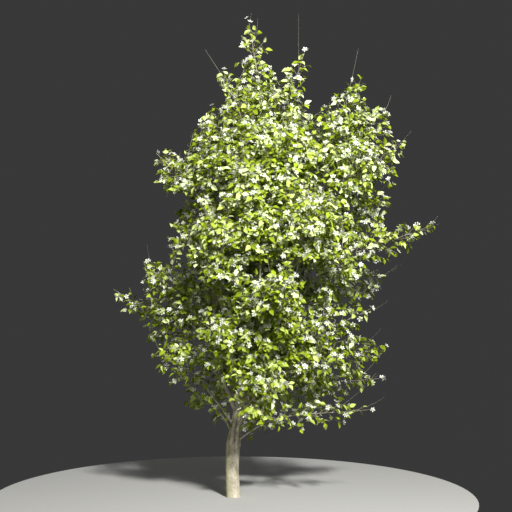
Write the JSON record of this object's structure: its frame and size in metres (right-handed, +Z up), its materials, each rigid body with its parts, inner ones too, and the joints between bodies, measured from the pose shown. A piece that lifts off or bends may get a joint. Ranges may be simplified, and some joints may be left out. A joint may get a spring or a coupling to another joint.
{
  "type": "flowering cherry tree",
  "caption": "Flowering cherry tree in full leaf with white blossom, slender trunk and low spreading crown, rooted in the ground.",
  "frame": {"origin": "centre of the flat cut under the trunk, at ground level", "axes": "+Z up along the trunk's height, +X to the right and +Y away from the viewer of the picture"},
  "size_m": [3.0894, 2.1438, 4.5703],
  "materials": {
    "bark": "rough",
    "bough": "rough",
    "foliage": "satin"
  },
  "bodies": {
    "root": {"trunk": "bark", "leader_right_bough": "bough", "leader_left_bough": "bough", "leader_front_bough": "bough", "leader_back_bough": "bough", "low_right_bough": "bough", "right_skirt_bough": "bough", "right_low_bough": "bough", "left_low_bough": "bough", "left_long_bough": "bough", "left_skirt_bough": "bough", "front_skirt_bough": "bough", "right_waist_bough": "bough", "right_flank_bough": "bough", "right_long_bough": "bough", "right_side_bough": "bough", "right_shoulder_bough": "bough", "right_arc_bough": "bough", "front_side_bough": "bough", "left_flank_bough": "bough", "left_side_bough": "bough", "left_arm_bough": "bough", "front_flank_bough": "bough", "back_side_bough": "bough", "leader_right_foliage": "foliage", "leader_left_foliage": "foliage", "leader_front_foliage": "foliage", "leader_back_foliage": "foliage", "low_right_foliage": "foliage", "right_skirt_foliage": "foliage", "right_low_foliage": "foliage", "left_low_foliage": "foliage", "left_long_foliage": "foliage", "left_skirt_foliage": "foliage", "front_skirt_foliage": "foliage", "right_waist_foliage": "foliage", "right_flank_foliage": "foliage", "right_long_foliage": "foliage", "right_side_foliage": "foliage", "right_shoulder_foliage": "foliage", "right_arc_foliage": "foliage", "front_side_foliage": "foliage", "left_flank_foliage": "foliage", "left_side_foliage": "foliage", "left_arm_foliage": "foliage", "front_flank_foliage": "foliage", "back_side_foliage": "foliage", "front_low_foliage": "foliage", "front_waist_foliage": "foliage", "front_crest_foliage": "foliage", "back_low_foliage": "foliage", "back_flank_foliage": "foliage", "back_heart_foliage": "foliage", "back_crest_foliage": "foliage", "left_crest_foliage": "foliage", "mid_crest_foliage": "foliage", "top_foliage": "foliage"}
  },
  "joints": []
}
